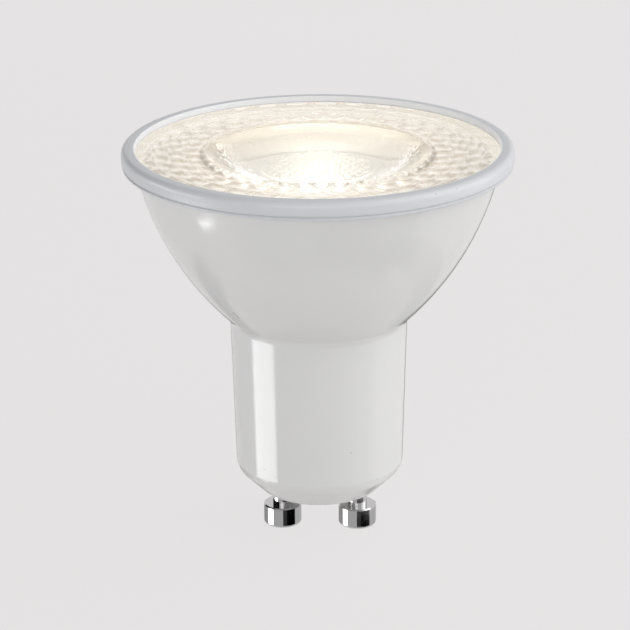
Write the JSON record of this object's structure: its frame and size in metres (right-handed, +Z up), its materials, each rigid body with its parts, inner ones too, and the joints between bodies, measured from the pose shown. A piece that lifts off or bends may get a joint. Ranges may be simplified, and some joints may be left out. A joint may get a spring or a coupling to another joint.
{
  "type": "spotlight bulb",
  "caption": "Reflector-shaped spotlight bulb with a white bowl and neck, a faceted clear lens in a front ring, and a twist-lock base with contact pins.",
  "frame": {"origin": "midway between the lower ends of the two contact pins, on the lamp's axis", "axes": "+Z up the lamp's axis towards the lens; the two contact pins stand on the X axis"},
  "size_m": [0.05, 0.05, 0.0527],
  "materials": {
    "white_housing": "white PBT moulding, semi-gloss",
    "white_ring": "white PBT moulding, semi-gloss",
    "clear_lens": "clear moulded acrylic, polished",
    "plated_pin": "bright nickel plate on brass",
    "pressed_aluminium": "bright pressed sheet",
    "silicone_pad": "soft grey silicone",
    "white_board": "white solder mask on aluminium",
    "white_ceramic": "white ceramic with a silicone dam",
    "phosphor": "yellow phosphor in silicone",
    "zinc_screw": "zinc-plated steel",
    "solder": "bright solder",
    "circuit_board": "green solder mask",
    "ferrite": "dark sintered ferrite",
    "coil_tape": "yellow polyester tape",
    "capacitor_sleeve": "black shrink sleeve on aluminium",
    "film_case": "moulded case",
    "resistor_coat": "green coating",
    "black_package": "moulded epoxy",
    "chip_ceramic": "coated ceramic",
    "tinned_wire": "tinned copper",
    "red_wire": "silicone insulation",
    "black_wire": "silicone insulation"
  },
  "bodies": {
    "root": {"housing": "white_housing", "front_ring": "white_ring", "lens": "clear_lens", "contact_pin_left": "plated_pin", "contact_pin_right": "plated_pin", "heat_sink": "pressed_aluminium", "thermal_pad": "silicone_pad", "led_board": "white_board", "led_source": "white_ceramic", "led_phosphor": "phosphor", "board_screws": "zinc_screw", "led_solder_joints": "solder", "driver_board": "circuit_board", "transformer_core": "ferrite", "transformer_coil": "coil_tape", "input_capacitor": "capacitor_sleeve", "output_capacitor": "capacitor_sleeve", "film_capacitor": "film_case", "fuse_resistor": "resistor_coat", "bridge_rectifier": "black_package", "driver_ic": "black_package", "rectifier_diode": "black_package", "chip_resistors": "chip_ceramic", "mains_wire_left": "tinned_wire", "mains_wire_right": "tinned_wire", "led_wire_plus": "red_wire", "led_wire_minus": "black_wire"}
  },
  "joints": []
}
